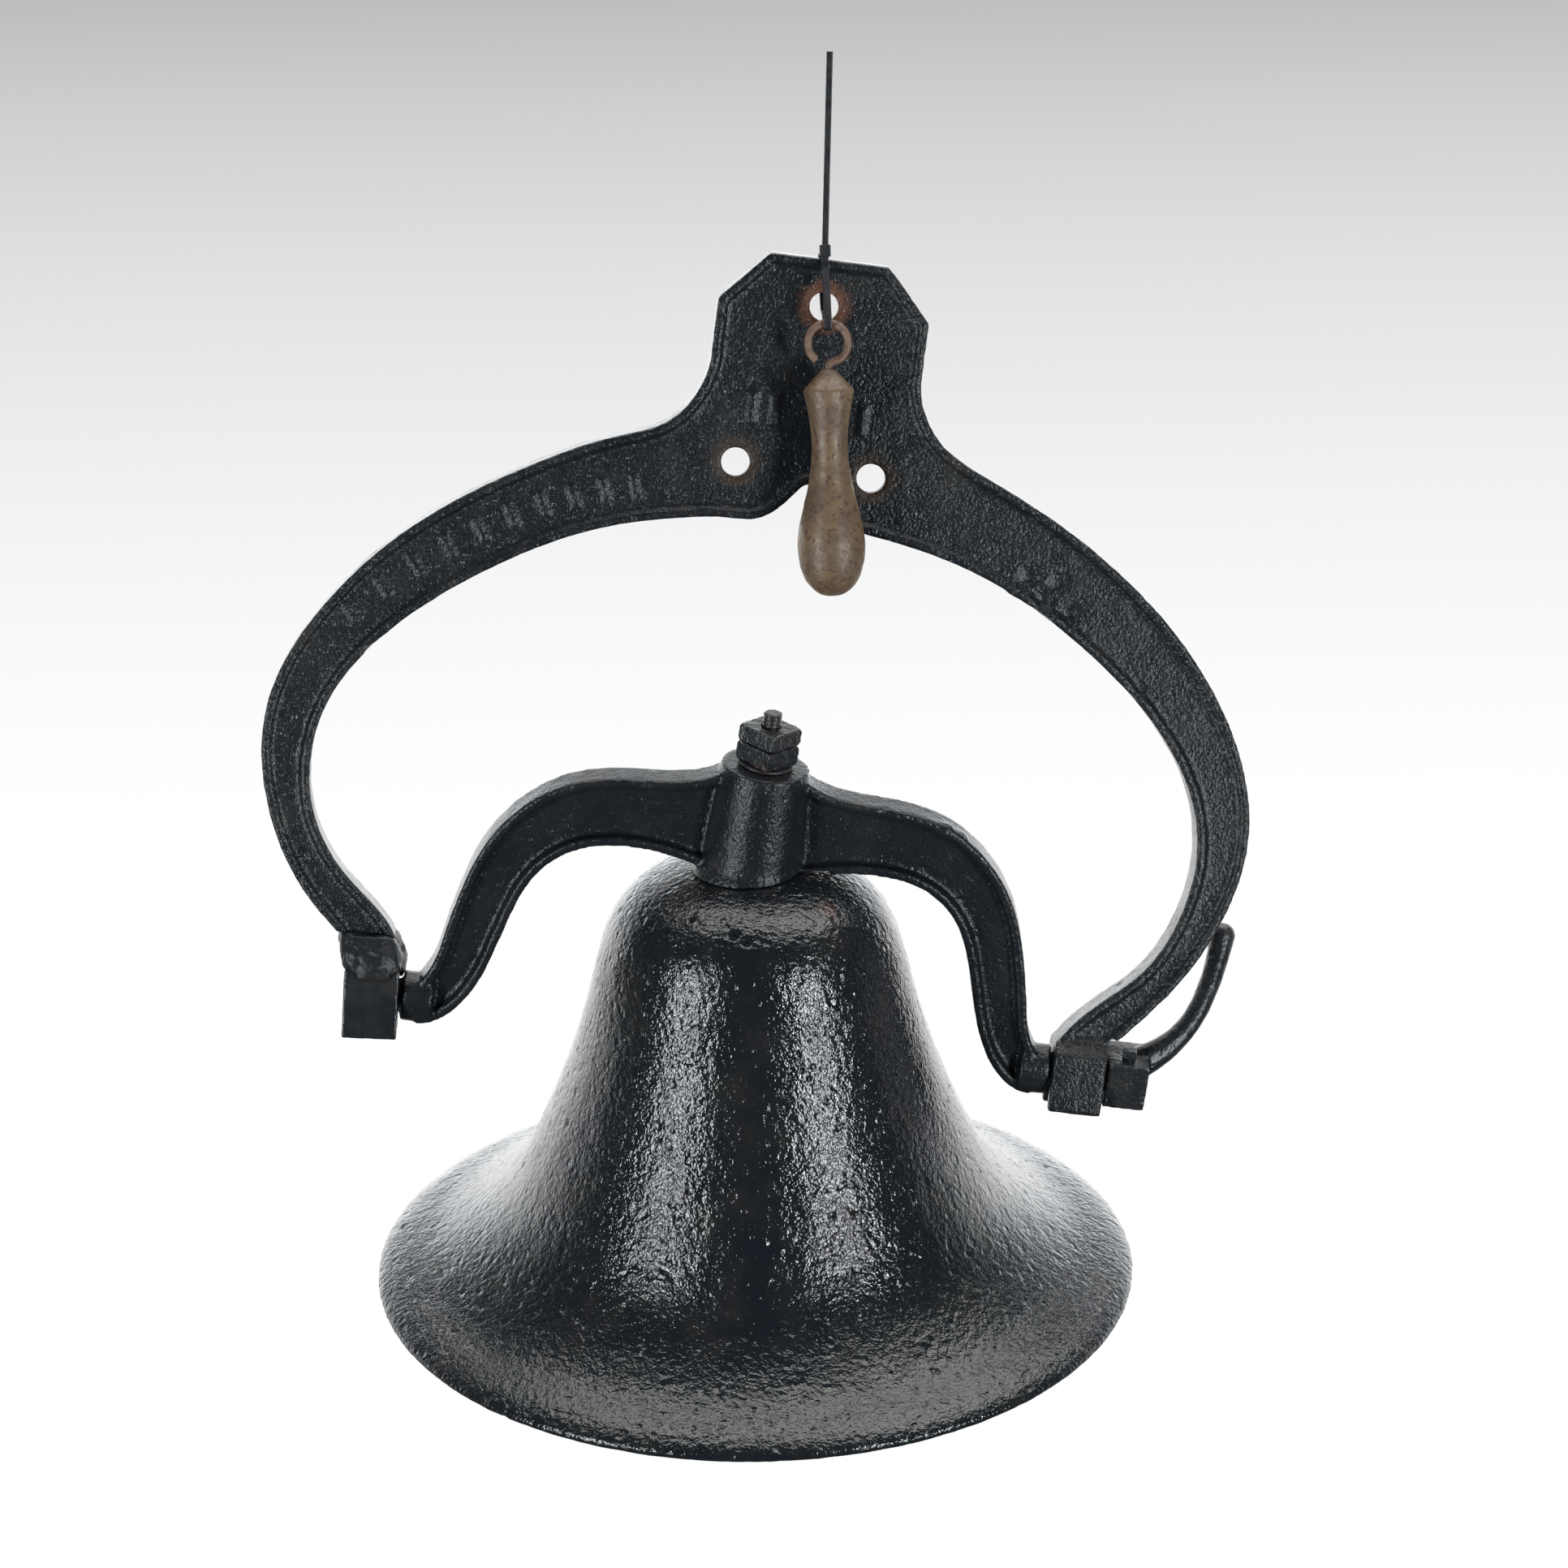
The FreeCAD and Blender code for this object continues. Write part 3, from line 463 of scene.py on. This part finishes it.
def roughen(tree, shader, place, grains, bump, high):
    """Give a material the casting skin as a bump, high in millimetres."""
    lift = put(tree, "ShaderNodeBump", strength=bump)
    lift.inputs["Distance"].default_value = high * MM
    join(tree, use(tree, skin, place, Grains=grains).outputs["Height"], lift.inputs["Height"])
    join(tree, lift.outputs["Normal"], shader.inputs["Normal"])


def paint(name, gloss, dull, grains, bump, dusty=0.35, shine=0.5, rings=(), shaded_holes=()):
    """Black enamel: gloss and dull are the roughness of its shiny and dull patches.

    Shine is how strongly it mirrors. Each ring is (centre, reach, strength, colour), and each
    shaded hole (centre, reach) gets painted shade: its shine fades to nothing.
    """
    material, tree, shader, place = new_material(name)
    patch = use(tree, blotches, place, Scale=38.0, Low=0.44, High=0.7).outputs["Mask"]
    specks = use(tree, blotches, place, Scale=210.0, Low=0.66, High=0.74).outputs["Mask"]
    colour = tint(tree, maths(tree, "MULTIPLY", patch, dusty), INK, DUST)
    colour = tint(tree, maths(tree, "MULTIPLY", specks, 0.55), colour, DARK_RUST)
    worn = maths(tree, "MULTIPLY", specks, 0.6)
    for centre, reach, strength, rust in rings:
        mask = use(tree, ring, place, Centre=centre, Reach=reach).outputs["Mask"]
        strong = maths(tree, "MULTIPLY", mask, strength)
        colour = tint(tree, strong, colour, rust)
        worn = maths(tree, "MAXIMUM", worn, strong)
    join(tree, colour, shader.inputs["Base Color"])
    rough = band(tree, maths(tree, "ADD", maths(tree, "MULTIPLY", patch, 0.7), worn), 0, 1,
                 gloss, dull)
    join(tree, rough, shader.inputs["Roughness"])
    shader.inputs["Specular IOR Level"].default_value = shine
    # Painted shade: over each blow hole the paint's shine fades to nothing, so the hole reads dark.
    dark = 0.0
    for centre, reach in shaded_holes:
        mask = use(tree, ring, place, Centre=centre, Reach=reach).outputs["Mask"]
        dark = maths(tree, "MAXIMUM", dark, mask)
    if shaded_holes:
        join(tree, band(tree, dark, 0, 1, shine, 0.0), shader.inputs["Specular IOR Level"])
    roughen(tree, shader, place, grains, bump, PAINT_GRAIN_HIGH)
    return material


# %% Paint the castings
hole_rings = [(top_hole, 14.2 * MM, 0.8, RUST)]
hole_rings += [(hole, 14 * MM, 0.75, DARK_RUST) for hole in low_holes]
hole_rings += [(on_plate(-172, 8, 66), 7 * MM, 0.5, DARK_RUST)]
crown_rust = [(crown + Vector((0.036, -0.034, -0.009)), 6 * MM, 0.25, RUST)]
nut_rust = [(on_yoke(-3, 12, 147.6), 4 * MM, 0.15, RUST)]
finishes = {
    # The bell's blow holes get painted shade: no shine inside them.
    "bell": paint("bell_enamel", gloss=0.09, dull=0.22, grains=330.0, bump=0.8,
                  dusty=0.4, rings=crown_rust, shaded_holes=shaded_blow_holes),
    "bracket": paint("bracket_enamel", gloss=0.24, dull=0.4, grains=600.0, bump=0.62,
                     shine=0.32, rings=hole_rings),
    "yoke": paint("yoke_enamel", gloss=0.26, dull=0.42, grains=520.0, bump=0.55, dusty=0.25,
                  shine=0.28),
    "block": paint("block_enamel", gloss=0.28, dull=0.45, grains=300.0, bump=0.3),
    "weld": paint("weld_enamel", gloss=0.42, dull=0.6, grains=300.0, bump=0.3, dusty=0.5,
                  shine=0.3),
    "lever": paint("lever_enamel", gloss=0.3, dull=0.5, grains=520.0, bump=0.45),
    "nut": paint("nut_enamel", gloss=0.3, dull=0.5, grains=700.0, bump=0.4, rings=nut_rust),
    "washer": paint("washer_enamel", gloss=0.35, dull=0.6, grains=700.0, bump=0.4, dusty=0.6,
                    rings=[(on_yoke(-3, 12, 146.8), 7 * MM, 0.16, RUST)]),
    "bolt": paint("bolt_enamel", gloss=0.3, dull=0.5, grains=800.0, bump=0.3, dusty=0.6),
}

# %% [markdown]
# ## Rusty iron and nylon
# The clapper has never been painted. Its rust is an even tan, freckled with darker brown, and
# handling has given it a faint sheen. The hook is the same with a redder tan. The tie is satin
# black nylon with hardly any grain.

# %% The rusty finish


def rusty(name, light, dark, freckle, grains, rough):
    material, tree, shader, place = new_material(name)
    patch = use(tree, blotches, place, Scale=90.0, Low=0.38, High=0.62).outputs["Mask"]
    freckles = use(tree, blotches, place, Scale=360.0, Low=0.56, High=0.61).outputs["Mask"]
    colour = tint(tree, patch, light, dark)
    colour = tint(tree, maths(tree, "MULTIPLY", freckles, 0.85), colour, freckle)
    join(tree, colour, shader.inputs["Base Color"])
    join(tree, band(tree, patch, 0, 1, rough, rough + 0.15), shader.inputs["Roughness"])
    roughen(tree, shader, place, grains, 0.5, RUST_GRAIN_HIGH)
    return material


def nylon(name):
    material, tree, shader, place = new_material(name)
    scuffs = use(tree, blotches, place, Scale=300.0, Low=0.4, High=0.8).outputs["Mask"]
    join(tree, tint(tree, scuffs, (0.009, 0.01, 0.012), (0.02, 0.021, 0.023)),
         shader.inputs["Base Color"])
    join(tree, band(tree, scuffs, 0, 1, 0.34, 0.5), shader.inputs["Roughness"])
    return material


finishes["clapper"] = rusty("clapper_rust", (0.13, 0.086, 0.046), (0.078, 0.048, 0.029),
                            (0.06, 0.017, 0.01), 520.0, 0.42)
finishes["hook"] = rusty("hook_rust", (0.17, 0.1, 0.066), (0.1, 0.056, 0.038),
                         (0.05, 0.024, 0.015), 700.0, 0.42)
finishes["tie"] = nylon("tie_nylon")

# %% [markdown]
# ## Hand each piece over
# Every piece stands for its node of the model, moves with that node's body and takes its own
# finish in place of the node's material.

# %% Replace the nodes
BODIES = frame["record"]["behaviour"]["bodies"]
pieces = [
    ("bell", bell, "bell"), ("hanger_bracket", bracket, "bracket"), ("yoke", yoke, "yoke"),
    ("repair_bearing", block, "block"), ("weld_bead", weld, "weld"),
    ("crank_lever", lever, "lever"), ("crank_screw", screw, "nut"),
    ("lower_nut", nuts[0], "nut"), ("jam_nut", nuts[1], "nut"),
    ("boss_washer", washers[0], "washer"), ("bevel_washer", washers[1], "washer"),
    ("clapper_bolt", bolt, "bolt"), ("clapper_body", clapper, "clapper"),
    ("clapper_hook", hook, "hook"), ("cable_tie", tie, "tie"),
]
for node, piece, finish in pieces:
    piece.data.materials.clear()
    piece.data.materials.append(finishes[finish])
    body = next(name for name, nodes in BODIES.items() if node in nodes)
    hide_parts(node)
    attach(piece, body)
print(len(pieces), "pieces handed over")

# %% [markdown]
# ## Camera
# A long lens from well back keeps the bell's proportions. It looks down a little, from just
# left of the bell's middle, and aims above the trunnions.

# %% Set the camera
scene = bpy.context.scene
scene.view_settings.view_transform = "Standard"
AIM = Vector((0.0298, 0, 0.1335))
LENS_MM = 113.93
SENSOR_MM = 36
DISTANCE = 2.4033
LOOK_DOWN = math.radians(23.7)
LOOK_RIGHT = math.radians(0.79)
ROLL = math.radians(-0.537)
forward = Vector((math.sin(LOOK_RIGHT) * math.cos(LOOK_DOWN),
                  math.cos(LOOK_RIGHT) * math.cos(LOOK_DOWN), -math.sin(LOOK_DOWN)))
level_right = forward.cross(Vector((0, 0, 1))).normalized()
level_up = level_right.cross(forward)
right = level_right * math.cos(ROLL) + level_up * math.sin(ROLL)
up = right.cross(forward)
lens = bpy.data.cameras.new("camera")
lens.sensor_width = SENSOR_MM
lens.lens = LENS_MM
lens.clip_end = 100
camera = bpy.data.objects.new("camera", lens)
scene.collection.objects.link(camera)
turned = Matrix((right, up, -forward)).transposed().to_4x4()
camera.matrix_world = Matrix.Translation(trunnion_middle + AIM - forward * DISTANCE) @ turned
scene.camera = camera
print("camera at", camera.matrix_world.translation)

# %% [markdown]
# ## Studio
# Black paint shows mostly what it mirrors. Two tall soft boxes in front give the two bright
# bands down the bell's waist. A wide one overhead and a room that is bright behind, most so at
# the horizon, light the tops of the flare, the crown and the yoke. The camera doesn't see the
# boxes. The floor glows instead of being lit: white near, fading to grey painted shade at the far
# side. In reflections its glow is painted light, dark near the bell and bright far behind it.

# %% Soft boxes
COOL = (0.93, 0.98, 1.0)
WARM = (1.0, 0.98, 0.96)
# Each box: its name, its direction from the bell, metres away, wide and high, watts, colour.
SOFT_BOXES = [
    ("left_box", (-0.722, -0.687, 0.09), 1.9, 0.3, 1.5, 36, COOL),
    ("right_box", (0.67, -0.735, 0.1), 1.9, 0.26, 1.3, 36, COOL),
    ("top_box", (0.1, 0.4, 0.9), 2.2, 3.0, 2.0, 85, WARM),
]
for name, direction, away, wide, high, power, colour in SOFT_BOXES:
    light = bpy.data.lights.new(name, "AREA")
    light.shape = "RECTANGLE"
    light.size = wide
    light.size_y = high
    light.energy = power
    light.color = colour
    item = bpy.data.objects.new(name, light)
    scene.collection.objects.link(item)
    item.visible_camera = False
    way = Vector(direction).normalized()
    item.location = trunnion_middle + way * away
    item.rotation_euler = way.to_track_quat("Z", "Y").to_euler()

# %% Room and floor
ROOM_COLOUR = (0.93, 0.97, 1.0)
ROOM_STRENGTH = 3.2
FLOOR_LEVEL = -1.6
FLOOR_HALF = 14.0
# The floor glows instead of being lit. Its fade to grey is painted shade, and its glow in
# reflections is painted light.
PAINTED_SHADE_SPAN = (3.2, 7.0)  # metres behind the origin over which the floor turns grey
PAINTED_SHADE_POWER = 1.15
REFLECTION_GLOW_RISE = (0.3, 4.5)  # metres behind the origin over which its reflection brightens
WHITE = (1.0, 1.0, 1.0)
BLACK = (0.0, 0.0, 0.0)
PAINTED_SHADE_GREY = (0.515, 0.515, 0.515)
REFLECTION_GLOW_NEAR = (0.05, 0.05, 0.05)
REFLECTION_GLOW_FAR = (2.4, 2.4, 2.4)
world = bpy.data.worlds.new("room")
scene.world = world
world.use_nodes = True
tree = world.node_tree
sky = tree.nodes["Background"]
way = put(tree, "ShaderNodeSeparateXYZ")
join(tree, put(tree, "ShaderNodeTexCoord").outputs["Generated"], way.inputs[0])
behind = band(tree, way.outputs["Y"], 0.1, 0.9, 0.006, 1.0)
low = band(tree, way.outputs["Z"], 0.0, 0.45, 1.0, 0.12)
join(tree, tint(tree, maths(tree, "MULTIPLY", behind, low), BLACK, ROOM_COLOUR),
     sky.inputs["Color"])
sky.inputs["Strength"].default_value = ROOM_STRENGTH

floor_mesh = bpy.data.meshes.new("floor")
corners = [(x * FLOOR_HALF, y * FLOOR_HALF, 0) for x, y in ((-1, -1), (1, -1), (1, 1), (-1, 1))]
floor_mesh.from_pydata(corners, [], [(0, 1, 2, 3)])
floor = bpy.data.objects.new("floor", floor_mesh)
floor.location = (0, 0, FLOOR_LEVEL)
scene.collection.objects.link(floor)
# Painted light: this floor material only glows. The camera sees white fading to grey painted shade;
# reflections see a painted glow, dark near and bright far.
pale, tree, shader, place = new_material("painted_light_floor")
spot = put(tree, "ShaderNodeSeparateXYZ")
join(tree, place, spot.inputs[0])
painted_shade_fade = maths(tree, "POWER", band(tree, spot.outputs["Y"], *PAINTED_SHADE_SPAN), PAINTED_SHADE_POWER)
camera_glow = tint(tree, painted_shade_fade, WHITE, PAINTED_SHADE_GREY)
painted_reflection_glow = tint(tree, band(tree, spot.outputs["Y"], *REFLECTION_GLOW_RISE), REFLECTION_GLOW_NEAR, REFLECTION_GLOW_FAR)
shade = tint(tree, put(tree, "ShaderNodeLightPath").outputs["Is Camera Ray"], painted_reflection_glow, camera_glow)
shader.inputs["Base Color"].default_value = (*BLACK, 1)
shader.inputs["Roughness"].default_value = 1.0
shader.inputs["Specular IOR Level"].default_value = 0.0
join(tree, shade, shader.inputs["Emission Color"])
shader.inputs["Emission Strength"].default_value = 1.0
floor.data.materials.append(pale)
